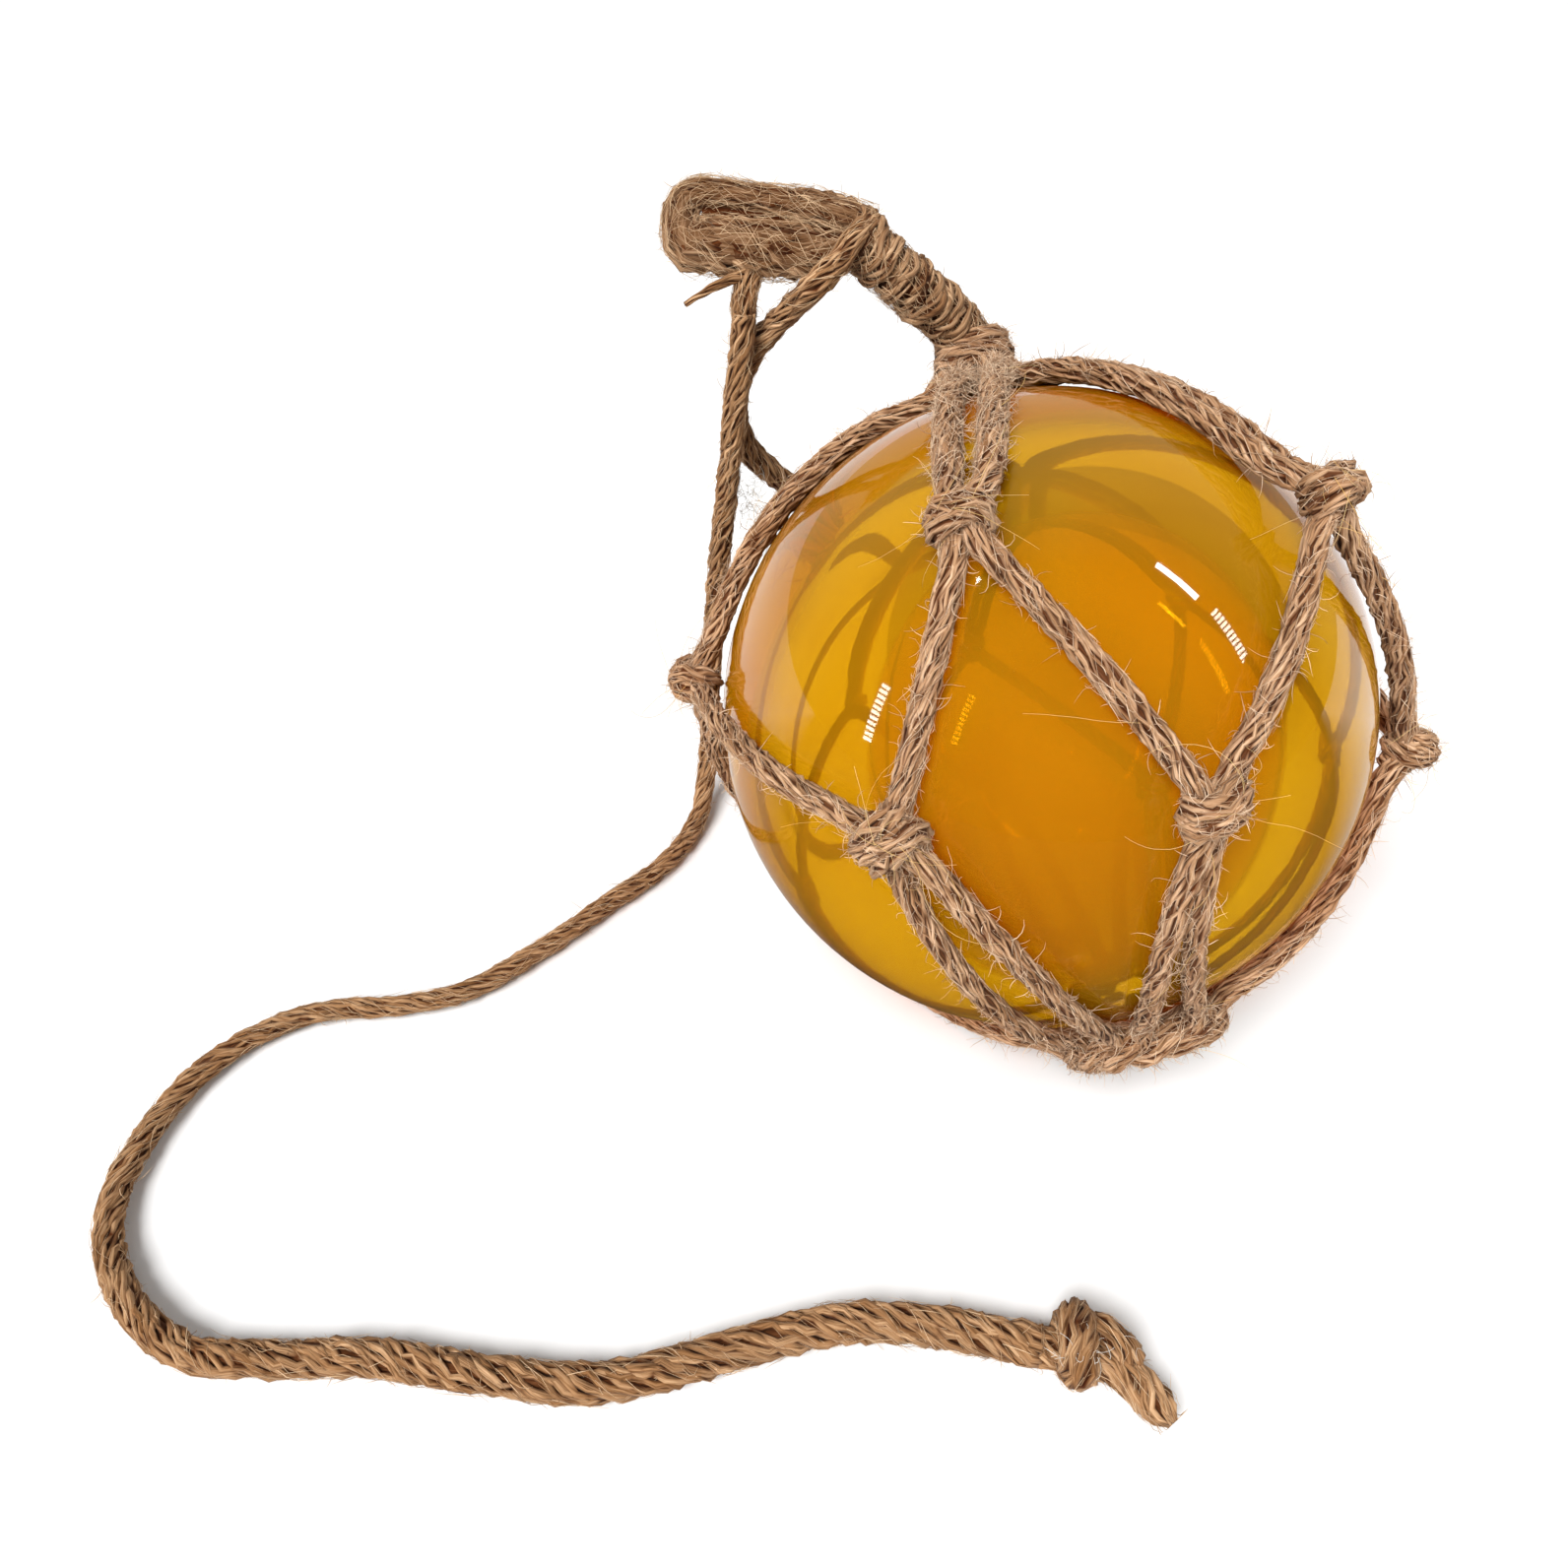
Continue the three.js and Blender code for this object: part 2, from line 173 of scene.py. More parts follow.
def yarns_of(line, radius, seed, yarns=17, turn=40.0, loose=1.0):
    """A soft laid cord: a core, dark with the painted shade of the valleys, and the yarns that wander
    round it, each with its path, its radius, the cord's own line and radius, and a number of its own."""
    rng = np.random.default_rng(seed)
    run = run_of(line)
    _, side, up = carried_frame(line)
    radius = np.broadcast_to(np.asarray(radius, float), run.shape)
    start = rng.uniform(0, 2 * math.pi)
    # the core: its depth puts it in painted shade
    out = [(line, radius * CORE_SIZE, line, radius, 0.2)]
    for y in range(yarns):
        a = start + 2 * math.pi * (y / yarns + run / turn) + drift(rng, run, 6, YARN_WANDER * loose)
        reach = radius * (YARN_REACH + drift(rng, run, 4.5, 0.10 * loose))
        path = line + (reach * np.cos(a))[:, None] * side + (reach * np.sin(a))[:, None] * up
        size = radius * (YARN_SIZE + drift(rng, run, 8, 0.05 * loose)) * (PLAIN_YARNS / yarns) ** 0.8
        out.append((path, size, line, radius, rng.uniform()))
    return out


SPLINES_AT_ONCE = 400            # a curve object with more splines than this is slow to build


def tubes(strands, sides):
    """One mesh of closed round tubes along the strands, in the order that they are given."""
    curve = bpy.data.curves.new("tubes", "CURVE")
    curve.dimensions = "3D"
    curve.resolution_u = 1
    section = bpy.data.curves.new("section", "CURVE")
    ring = section.splines.new("POLY")
    ring.points.add(sides - 1)
    for i, point in enumerate(ring.points):
        a = 2 * math.pi * i / sides
        point.co = (MM * math.cos(a), MM * math.sin(a), 0, 1)
    ring.use_cyclic_u = True
    curve.bevel_mode, curve.bevel_object = "OBJECT", bpy.data.objects.new("section", section)
    for path, size, *_ in strands:
        spline = curve.splines.new("POLY")
        spline.points.add(len(path) - 1)
        spline.points.foreach_set("co", np.hstack([path * MM, np.ones((len(path), 1))]).ravel())
        spline.points.foreach_set("radius", np.broadcast_to(size, len(path)).astype(float))
    drawn = bpy.data.objects.new("tubes", curve)
    scene.collection.objects.link(drawn)
    bpy.context.view_layer.update()
    finished = drawn.evaluated_get(bpy.context.evaluated_depsgraph_get())
    mesh = bpy.data.meshes.new_from_object(finished)
    bpy.data.curves.remove(curve)
    bpy.data.curves.remove(section)
    closed = bmesh.new()
    closed.from_mesh(mesh)
    bmesh.ops.edgeloop_fill(closed, edges=[edge for edge in closed.edges if edge.is_boundary])
    closed.to_mesh(mesh)
    closed.free()
    return mesh


def sweep(name, strands, sides=5):
    """A closed mesh of the strands. Its "lay" attribute runs along and round each yarn in
    millimetres with the yarn's own number, and "depth" (for painted shade) is 0 deep in a cord and 1 outside."""
    joined = bmesh.new()
    for first in range(0, len(strands), SPLINES_AT_ONCE):
        mesh = tubes(strands[first:first + SPLINES_AT_ONCE], sides)
        joined.from_mesh(mesh)
        bpy.data.meshes.remove(mesh)
    mesh = bpy.data.meshes.new(name)
    joined.to_mesh(mesh)
    joined.free()
    for layer in list(mesh.uv_layers):
        mesh.uv_layers.remove(layer)
    mesh.polygons.foreach_set("use_smooth", np.ones(len(mesh.polygons), bool))
    place = np.zeros(len(mesh.vertices) * 3)
    mesh.vertices.foreach_get("co", place)
    place = place.reshape(-1, 3) / MM
    lay, depth = [], []
    first = 0
    for path, size, line, radius, number in strands:
        n = len(path)
        around = np.arange(sides)[None, :] * 2 * math.pi / sides * np.broadcast_to(size, n)[:, None]
        along = np.repeat(run_of(path)[:, None], sides, axis=1)
        lay.append(np.stack([along, around, np.full_like(along, number)], axis=2).reshape(-1, 3))
        if line is None:
            depth.append(np.ones(n * sides))
        else:
            block = place[first:first + n * sides].reshape(n, sides, 3)
            depth.append((np.linalg.norm(block - line[:, None], axis=2) / radius[:, None]).ravel())
        first += n * sides
    if first != len(mesh.vertices):
        raise RuntimeError(f"{name}: {len(mesh.vertices)} vertices, {first} expected")
    lay = np.concatenate(lay).astype(np.float32)
    depth = np.concatenate(depth).astype(np.float32)
    mesh.attributes.new("lay", "FLOAT_VECTOR", "POINT").data.foreach_set("vector", lay.ravel())
    mesh.attributes.new("depth", "FLOAT", "POINT").data.foreach_set("value", depth)
    return mesh


def add_piece(name, mesh, material, slot, *nodes):
    """Puts a piece in the scene, in place of the solids of the given nodes."""
    piece = bpy.data.objects.new(name, mesh)
    scene.collection.objects.link(piece)
    mesh.materials.clear()
    mesh.materials.append(material)
    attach(piece, "root")
    if nodes:
        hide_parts(*nodes)
    return piece


# ---- materials ------------------------------------------------------
def attribute(nodes, name):
    node = nodes.new("ShaderNodeAttribute")
    node.attribute_name = name
    return node


def maths(nodes, operation, value=0.5):
    """A math node, with value as its second input until something is linked there."""
    node = nodes.new("ShaderNodeMath")
    node.operation = operation
    node.inputs[1].default_value = value
    return node


def set_inputs(node, values):
    for label, value in values.items():
        node.inputs[label].default_value = value


def new_material(name):
    """A plain material, its tree's nodes, and the function that links them."""
    material = bpy.data.materials.new(name)
    material.use_nodes = True
    return material, material.node_tree.nodes, material.node_tree.links.new


def streak_group():
    """Fine lengthwise fibres on a yarn, and the slower change of tone from yarn to yarn."""
    group = bpy.data.node_groups.new("yarn fibres", "ShaderNodeTree")
    face = group.interface
    for label in ("Fineness", "Patchiness"):
        face.new_socket(label, in_out="INPUT", socket_type="NodeSocketFloat").default_value = 1.0
    for label in ("Fibre", "Tone", "Depth"):
        face.new_socket(label, in_out="OUTPUT", socket_type="NodeSocketFloat")
    n, link = group.nodes, group.links.new
    given, given_out = n.new("NodeGroupInput"), n.new("NodeGroupOutput")
    lay = attribute(n, "lay")
    depth = attribute(n, "depth")
    stretch = n.new("ShaderNodeVectorMath")
    stretch.operation = "MULTIPLY"
    stretch.inputs[1].default_value = (0.22, 2.6, 60.0)
    link(lay.outputs["Vector"], stretch.inputs[0])
    fibre = n.new("ShaderNodeTexNoise")
    set_inputs(fibre, {"Detail": 3.0, "Roughness": 0.65, "Distortion": 0.3})
    link(stretch.outputs[0], fibre.inputs["Vector"])
    link(given.outputs["Fineness"], fibre.inputs["Scale"])
    spot = n.new("ShaderNodeTexCoord")
    tone = n.new("ShaderNodeTexNoise")
    set_inputs(tone, {"Scale": 110.0, "Detail": 2.0})
    link(spot.outputs["Object"], tone.inputs["Vector"])
    split = n.new("ShaderNodeSeparateXYZ")
    link(lay.outputs["Vector"], split.inputs[0])
    blend = n.new("ShaderNodeMix")
    blend.data_type = "FLOAT"
    blend.inputs["Factor"].default_value = 0.45
    link(tone.outputs["Fac"], blend.inputs["A"])
    link(split.outputs["Z"], blend.inputs["B"])
    scaled = maths(n, "MULTIPLY")
    link(blend.outputs["Result"], scaled.inputs[0])
    link(given.outputs["Patchiness"], scaled.inputs[1])
    link(fibre.outputs["Fac"], given_out.inputs["Fibre"])
    link(scaled.outputs[0], given_out.inputs["Tone"])
    link(depth.outputs["Fac"], given_out.inputs["Depth"])
    return group


def ramp(nodes, stops):
    """A colour ramp with a stop at each of the given places."""
    node = nodes.new("ShaderNodeValToRGB")
    band = node.color_ramp
    while len(band.elements) < len(stops):
        band.elements.new(0.5)
    for element, (place, colour) in zip(band.elements, stops):
        element.position = place
        element.color = (*colour, 1)
    return node


def mix_colour(nodes, kind, amount):
    node = nodes.new("ShaderNodeMix")
    node.data_type, node.blend_type = "RGBA", kind
    node.inputs["Factor"].default_value = amount
    return node


def cord_material(name, dark, middle, light, tint_low, fineness=1.0, patchiness=1.0):
    """Jute from its dark gaps, which are painted shade where the fibre relief is low, to its light fibres,
    the duller yarns multiplied by tint_low, and all of it darkened with painted shade in the valleys of the
    lay."""
    material, n, link = new_material(name)
    shader = n["Principled BSDF"]
    fibres = n.new("ShaderNodeGroup")
    fibres.node_tree = yarn_fibres
    set_inputs(fibres, {"Fineness": fineness, "Patchiness": patchiness})
    # the dark end is painted shade where the fibre relief below is low; the rest is the fibres' own tone
    colour = ramp(n, [(0.30, dark), (0.48, middle), (0.70, light)])
    link(fibres.outputs["Fibre"], colour.inputs["Fac"])
    tint = ramp(n, [(0.25, tint_low), (0.75, (1, 1, 1))])
    link(fibres.outputs["Tone"], tint.inputs["Fac"])
    toned = mix_colour(n, "MULTIPLY", 1.0)
    link(colour.outputs["Color"], toned.inputs["A"])
    link(tint.outputs["Color"], toned.inputs["B"])
    # painted shade: the colour is darkened deep in the cord, in the valleys of the lay
    painted_valley_shade = ramp(n, [(0.78, (0.22, 0.10, 0.045)), (0.95, (1, 1, 1))])
    link(fibres.outputs["Depth"], painted_valley_shade.inputs["Fac"])
    shaded = mix_colour(n, "MULTIPLY", 1.0)
    link(toned.outputs["Result"], shaded.inputs["A"])
    link(painted_valley_shade.outputs["Color"], shaded.inputs["B"])
    link(shaded.outputs["Result"], shader.inputs["Base Color"])
    relief = n.new("ShaderNodeBump")
    set_inputs(relief, {"Strength": 0.7, "Distance": 0.0002})
    link(fibres.outputs["Fibre"], relief.inputs["Height"])
    link(relief.outputs["Normal"], shader.inputs["Normal"])
    set_inputs(shader, {
        "Roughness": 0.85, "Specular IOR Level": 0.12,
        "Sheen Weight": 0.08, "Sheen Roughness": 0.5, "Sheen Tint": (1.0, 0.86, 0.7, 1),
    })
    return material


def fibre_material(name, low, high):
    """Loose fibres: one plain tone each, between two colours."""
    material, n, link = new_material(name)
    shader = n["Principled BSDF"]
    lay = attribute(n, "lay")
    split = n.new("ShaderNodeSeparateXYZ")
    link(lay.outputs["Vector"], split.inputs[0])
    colour = ramp(n, [(0.0, low), (1.0, high)])
    link(split.outputs["Z"], colour.inputs["Fac"])
    link(colour.outputs["Color"], shader.inputs["Base Color"])
    set_inputs(shader, {"Roughness": 0.55, "Specular IOR Level": 0.35})
    return material


def glass_material(name, low, high, passing, clearness, roughness):
    """Glass whose colour drifts from low to high in faint swirls where it was blown and turned.
    passing tints the light that goes through it, and clearness is how much of it is see-through."""
    material, n, link = new_material(name)
    shader = n["Principled BSDF"]
    spot = n.new("ShaderNodeTexCoord")
    swirl = n.new("ShaderNodeTexNoise")
    set_inputs(swirl, {"Scale": 16.0, "Detail": 2.0, "Distortion": 1.6})
    link(spot.outputs["Object"], swirl.inputs["Vector"])
    colour = ramp(n, [(0.3, low), (0.7, high)])
    link(swirl.outputs["Fac"], colour.inputs["Fac"])
    link(colour.outputs["Color"], shader.inputs["Base Color"])
    set_inputs(shader, {"Transmission Weight": clearness, "IOR": 1.5, "Roughness": roughness})
    # light that passes through on its way to the table is tinted and not bent
    passed = n.new("ShaderNodeBsdfTransparent")
    passed.inputs["Color"].default_value = (*passing, 1)
    path = n.new("ShaderNodeLightPath")
    either = n.new("ShaderNodeMixShader")
    link(path.outputs["Is Shadow Ray"], either.inputs["Fac"])
    link(shader.outputs["BSDF"], either.inputs[1])
    link(passed.outputs["BSDF"], either.inputs[2])
    link(either.outputs["Shader"], n["Material Output"].inputs["Surface"])
    return material


yarn_fibres = streak_group()
net_jute = cord_material(
    "net jute", (0.075, 0.027, 0.009), (0.46, 0.27, 0.145), (0.76, 0.52, 0.345), (0.62, 0.51, 0.42),
)
tan_jute = cord_material(
    "tan jute", (0.060, 0.022, 0.007), (0.38, 0.21, 0.100), (0.66, 0.43, 0.25), (0.60, 0.50, 0.40),
)
# darker darks and middles and lighter lights than the tan jute, for the neck and the eye
neck_eye_jute = cord_material(
    "neck and eye jute", (0.040, 0.014, 0.005), (0.34, 0.19, 0.095), (0.68, 0.47, 0.29), (0.50, 0.40, 0.32),
)
net_fibre = fibre_material("net fibre", (0.34, 0.18, 0.09), (0.90, 0.68, 0.48))
tan_fibre = fibre_material("tan fibre", (0.26, 0.13, 0.055), (0.84, 0.60, 0.37))
pale_fibre = fibre_material("pale lint", (0.50, 0.46, 0.40), (0.86, 0.82, 0.74))
gold_fibre = fibre_material("gold fibre", (0.72, 0.42, 0.12), (0.85, 0.62, 0.30))
amber = glass_material(
    "amber glass", low=(0.70, 0.34, 0.003), high=(0.79, 0.43, 0.006), passing=(0.80, 0.40, 0.03),
    clearness=0.75, roughness=0.03,
)

# ---- the tail cord and the side cord --------------------------------
STEP = 1.45                      # between the points along a cord


def tail_radius(share):
    """Thin where it hangs, and opening out towards the end knot."""
    return np.interp(share, (0.0, 0.3, 0.5, 0.62, 0.72, 1.0), (1.95, 1.8, 1.8, 2.2, 2.6, 2.9))


tail_line = smooth_line(TAIL_ROUTE, STEP)
tail_share = run_of(tail_line) / run_of(tail_line)[-1]
tail_size = tail_radius(tail_share)
tail = add_piece(
    "tail_cord_piece",
    sweep("tail_cord_piece", yarns_of(tail_line, tail_size, 11, yarns=13, turn=27)),
    tan_jute, "tan_cord", "tail_cord",
)
remember("free", tail_line, tail_size)

side_line = smooth_line([*SIDE_CORD_START, *SIDE_CORD_ROUTE], STEP)
side_share = np.linspace(0, 1, len(side_line))
side_size = np.interp(side_share, (0, 0.08, 0.16, 1), (1.3, 1.6, 2.0, 2.4))
side_cord = add_piece(
    "side_cord_piece",
    sweep("side_cord_piece", yarns_of(side_line, side_size, 12)),
    tan_jute, "tan_cord", "side_cord",
)
remember("free", side_line, side_size)


# ---- the glass ball -------------------------------------------------
HOLLOW_RADIUS = 33.0
HOLLOW_STRETCH = 1.15            # upright
HOLLOW_PLACE = (4.0, -1.0, -5.5)  # from the ball's centre


def ball_mesh():
    """A heavy blown ball: an outer skin with a small ground flat, and the hollow inside it, which
    isn't quite in the middle."""
    bm = bmesh.new()
    bmesh.ops.create_uvsphere(bm, u_segments=112, v_segments=64, radius=BALL_RADIUS * MM)
    cut = -BALL_CENTRE[2] * MM
    bmesh.ops.bisect_plane(
        bm, geom=[*bm.verts, *bm.edges, *bm.faces],
        plane_co=(0, 0, cut), plane_no=(0, 0, -1), clear_outer=True,
    )
    rim = [e for e in bm.edges if e.is_boundary]
    bmesh.ops.contextual_create(bm, geom=rim)
    hollow = bmesh.new()
    bmesh.ops.create_uvsphere(hollow, u_segments=96, v_segments=56, radius=HOLLOW_RADIUS * MM)
    bmesh.ops.scale(hollow, verts=hollow.verts, vec=(1, 1, HOLLOW_STRETCH))
    bmesh.ops.translate(hollow, verts=hollow.verts, vec=Vector(HOLLOW_PLACE) * MM)
    bmesh.ops.reverse_faces(hollow, faces=hollow.faces)
    inner = bpy.data.meshes.new("hollow")
    hollow.to_mesh(inner)
    hollow.free()
    bm.from_mesh(inner)
    bpy.data.meshes.remove(inner)
    bmesh.ops.translate(bm, verts=bm.verts, vec=Vector(BALL_CENTRE * MM))
    mesh = bpy.data.meshes.new("glass_ball_piece")
    bm.to_mesh(mesh)
    bm.free()
    mesh.polygons.foreach_set("use_smooth", [len(p.vertices) < 5 for p in mesh.polygons])
    return mesh


add_piece("glass_ball_piece", ball_mesh(), amber, "amber_glass", "glass_ball")


# ---- the net --------------------------------------------------------
def net_direction(latitude, longitude):
    """A direction from the ball's centre, given about the net's leaning axis."""
    a, b = math.radians(latitude), math.radians(longitude)
    x, y, z = math.cos(a) * math.cos(b), math.cos(a) * math.sin(b), math.sin(a)
    lean, azimuth = math.radians(NET_LEAN), math.radians(NET_AZIMUTH)
    x, z = x * math.cos(lean) + z * math.sin(lean), z * math.cos(lean) - x * math.sin(lean)
    return np.array([
        x * math.cos(azimuth) - y * math.sin(azimuth),
        x * math.sin(azimuth) + y * math.cos(azimuth),
        z,
    ])


AXIS = net_direction(90, 0)
RING_AXIS = net_direction(*RING_PLACE)
RING_ACROSS = net_direction(90 + RING_PLACE[0], RING_PLACE[1])


def turned_about(v, axis, angle):
    """v turned about a unit axis by an angle in radians."""
    c, s = math.cos(angle), math.sin(angle)
    return v * c + np.cross(axis, v) * s + axis * (axis @ v) * (1 - c)


def around_ring(angle, reach):
    """The direction of a place round the bottom ring, reach millimetres from the ring's middle."""
    tilt = reach / ORBIT
    start = math.cos(tilt) * RING_AXIS + math.sin(tilt) * RING_ACROSS
    return turned_about(start, RING_AXIS, math.radians(angle))


def arc(a, b, count):
    """Directions on the great circle from a to b, and the unit vector beside that circle."""
    angle = math.acos(np.clip(a @ b, -1, 1))
    beside = unit(np.cross(a, b))
    return [(turned_about(a, beside, angle * i / (count - 1)), beside) for i in range(count)]


def knot_place(knot):
    """A knot's direction from the ball's centre, and how far it stands off."""
    latitude, longitude, off = knot
    return net_direction(latitude, longitude), off


OVER_KNOT, BESIDE_KNOT = 1.6, 0.9    # how far a twine lifts off the glass in a knot and next to it
PARTS, MIDDLE_PARTS = 8, 7           # of a twine's stretch beyond a knot, and of that between knots


def net_twine_route(upper, lower, hand, arrival, spread, bends):
    """One twine from the neck through an upper and a lower knot to the bottom ring. hand is 1 where
    it goes east from the upper knot and -1 where it goes west. spread is its place in its pair above
    the upper knot. bends says how far it bows aside between its knots and then below the lower knot,
    how far it is from the pair's middle at either end, and how much one lies over the other."""
    (up, up_off), (low, low_off) = upper, lower
    middle_bow, bow, apart_first, apart_last, over = bends
    points = []
    first = arc(AXIS, up, PARTS + 1)
    beside = first[0][1]
    outward = unit(up - (up @ AXIS) * AXIS)
    points.append(BALL_CENTRE + AXIS * (ORBIT + 8.5) + outward * 1.6 + beside * hand * 0.8)
    points.append(BALL_CENTRE + AXIS * (ORBIT + 5.0) + outward * 3.2 + beside * hand * 1.4)
    for i, (d, side) in enumerate(first[1:-1], start=1):
        near = (i / PARTS) ** 8
        aside = spread + (hand * 1.25 - spread) * near
        points.append(BALL_CENTRE + d * (ORBIT + (BESIDE_KNOT + up_off) * near) + side * aside)
    points.append(BALL_CENTRE + up * (ORBIT + OVER_KNOT + up_off) + beside * hand * 1.0)
    for i, (d, side) in enumerate(arc(up, low, MIDDLE_PARTS + 1)[1:-1], start=1):
        share = i / MIDDLE_PARTS
        bent = middle_bow * math.sin(math.pi * share)
        lift = (BESIDE_KNOT + up_off) * (1 - share) ** 4 + (BESIDE_KNOT + low_off) * share**4
        points.append(BALL_CENTRE + d * (ORBIT + lift) + side * bent)
    last = arc(low, around_ring(arrival, 12.9), PARTS + 1)
    beside = last[0][1]
    into_knot = beside * hand * min(1.0, apart_first)
    points.append(BALL_CENTRE + low * (ORBIT + OVER_KNOT + low_off) - into_knot)
    for i, (d, side) in enumerate(last[1:], start=1):
        share = i / PARTS
        near = (1 - share) ** 8
        raised = max(0.0, hand * over) * (1 - share) ** 2
        apart = apart_first + (apart_last - apart_first) * i / PARTS
        points.append(
            BALL_CENTRE + d * (ORBIT + (BESIDE_KNOT + low_off) * near + raised)
            + side * (bow * math.sin(math.pi * i / PARTS) - hand * apart)
        )
    end = around_ring(arrival, 7.0)
    points.append(BALL_CENTRE + end * (ORBIT + 3.4) - beside * hand * 3.0)
    points.append(BALL_CENTRE + around_ring(arrival, 3.0) * (ORBIT + 2.2) - beside * hand * 1.4)
    return points


# the lower pairs: the bow for hand 1 and hand -1, the twines' distance from the middle at the knot
# and at the ring, and which lies over the other at the knot
LOWER_PAIRS = (
    (-3.0, -3.0, 1.6, 3.6, 0),
    (-0.8, 3.4, 1.8, 3.2, -1),
    (-3.7, -3.9, 0.8, 4.2, 1.2),
    (0.0, 0.0, 1.6, 3.6, 0),
    (0.0, 0.0, 1.6, 3.6, 0),
)
# the twines that bow aside between their knots, by their lower knot and hand
MIDDLE_BOWS = {(2, -1): 1.2, (1, -1): 1.2}
# where the two twines of each upper pair lie beside the pair's middle, for hand 1 and hand -1
SPREADS = (
    {1: 2.2, -1: -2.2}, {1: 0.9, -1: -3.5}, {1: 4.8, -1: -1.4}, {1: 2.2, -1: -2.2}, {1: 2.2, -1: -2.2},
)
FRONT_KNOT = 2                   # the upper knot in front, whose two twines are swollen above it
SWOLLEN = 1.12


def net_twines():
    """The ten twines, each in place of an upper, a middle and a lower strand."""
    upper = [knot_place(k) for k in UPPER_KNOTS]
    lower = [knot_place(k) for k in LOWER_KNOTS]
    for i in range(5):
        for hand, k in ((1, i), (-1, (i + 1) % 5)):
            first_bow, other_bow, *rest = LOWER_PAIRS[i]
            bow = first_bow if hand == 1 else other_bow
            bends = (MIDDLE_BOWS.get((i, hand), 0.0), bow, *rest)
            route = net_twine_route(upper[k], lower[i], hand, ARRIVALS[i], SPREADS[k][hand], bends)
            line = smooth_line(route, STEP)
            share = run_of(line) / run_of(line)[-1]
            upper_size = SWOLLEN if k == FRONT_KNOT else 1.0
            sizes = (upper_size, upper_size, 0.97, 0.97, 0.88, 0.88)
            radius = TWINE * np.interp(share, (0, 0.3, 0.4, 0.68, 0.78, 1), sizes)
            radius *= 1 - 0.35 * np.exp(-((share / 0.03) ** 2))
            letter, other = ("a", "b") if hand == 1 else ("b", "a")
            name = f"net_twine_{i + 1}{letter}"
            add_piece(
                name, sweep(name, yarns_of(line, radius, 100 + 10 * i + hand)), net_jute, "net_twine",
                f"upper_strand_{k + 1}{letter}", f"middle_strand_{i + 1}{letter}",
                f"lower_strand_{i + 1}{other}",
            )
            remember("net", line, radius)


net_twines()


def knot_frame(outward):
    """East and north on the glass at a knot."""
    north = unit(AXIS - (AXIS @ outward) * outward)
    return np.cross(north, outward), north


def knot_turns(rng, centre, axes, turns, start, climb, spread, wide, high):
    """Turns round a knot. They begin at the angle start, climb from side to side, spread along the
    knot, and reach wide across it and high off the glass, with their ends tucked in."""
    east, outward, north = axes
    points = []
    steps = max(8, int(13 * turns))
    for i in range(steps + 1):
        share = i / steps
        a = 2 * math.pi * turns * share + start + 0.25 * rng.uniform()
        tuck = 1 - 0.55 * (max(0, share - 0.93) / 0.07 + max(0, 0.07 - share) / 0.07)
        reach = tuck * (1 + rng.uniform(-0.09, 0.09))
        rise = spread * (share - 0.5) + climb * math.cos(a) * (1 - 0.6 * abs(share - 0.5))
        rise += rng.uniform(-0.25, 0.25)
        points.append(
            centre + east * wide * reach * math.cos(a) + outward * high * reach * math.sin(a)
            + north * rise
        )
    return smooth_line(points, STEP)


def net_knot(name, knot, seed, tilt, lean=0.0, long=5.4, over=0.0, bulk=1.0):
    """Turns of twine drawn tight round the strands, and part of a turn that crosses them. tilt is
    how much the turns climb from side to side, lean turns the whole knot on the glass, long is how
    far the turns spread along it, over is the crossing turn's climb, and bulk makes it thicker."""
    outward, off = knot_place(knot)
    east, north = knot_frame(outward)
    east = turned_about(east, outward, math.radians(lean))
    north = turned_about(north, outward, math.radians(lean))
    centre = BALL_CENTRE + outward * (ORBIT + 1.9 + off)
    rng = np.random.default_rng(seed)
    strands = []
    wraps = (2.3, 0.9 * math.pi, tilt, long, 3.0 * bulk, 2.4)
    crossing = (0.62, -0.12 * math.pi, over, 0.0, 3.3 * bulk, 3.1)
    for way, size in ((wraps, 1.65 * bulk), (crossing, 1.35 * bulk)):
        line = knot_turns(rng, centre, (east, outward, north), *way)
        size = size * np.interp(np.linspace(0, 1, len(line)), (0, 0.1, 0.9, 1), (0.3, 1, 1, 0.3))
        strands += yarns_of(line, size, seed + len(strands), yarns=13, loose=1.8)
        remember("knots", line, size)
    add_piece(name + "_wraps", sweep(name + "_wraps", strands), net_jute, "net_twine", name)


UPPER_WAYS = (
    {"tilt": 0.6}, {"tilt": -0.8, "over": 1.0}, {"tilt": 0.9, "long": 4.2, "over": -0.6},
    {"tilt": 1.2, "over": -1.5}, {"tilt": -0.6, "over": 1.2},
)
LOWER_WAYS = (
    {"tilt": 0.8}, {"tilt": 0.6, "lean": 35.0, "long": 7.6, "over": -1.6, "bulk": 1.12},
    {"tilt": 1.5, "over": 2.4, "long": 5.0}, {"tilt": 0.8, "over": -1.0}, {"tilt": -0.8, "over": 1.0},
)
for i in range(5):
    net_knot(f"upper_knot_{i + 1}", UPPER_KNOTS[i], 300 + i, **UPPER_WAYS[i])
    net_knot(f"lower_knot_{i + 1}", LOWER_KNOTS[i], 320 + i, **LOWER_WAYS[i])


# ---- the gathers ----------------------------------------------------
BINDING = 1.9                    # radius of the twine that binds the gathers


def top_gather():
    """Turns of twine that bind the strands where they leave the neck."""
    across = unit(np.cross(AXIS, [0.0, 0.0, 1.0]))
    other = np.cross(AXIS, across)
    points = []
    for i in range(45):
        share = i / 44
        a = 2 * math.pi * 2.2 * share
        reach = 5.2 - 1.0 * share
        height = ORBIT + 3.2 + 4.6 * share
        points.append(
            BALL_CENTRE + AXIS * height + reach * (across * math.cos(a) + other * math.sin(a))
        )
    line = smooth_line(points, STEP)
    add_piece(
        "top_gather_wraps", sweep("top_gather_wraps", yarns_of(line, BINDING, 401)),
        net_jute, "net_twine", "top_gather",
    )
    remember("gathers", line, BINDING)


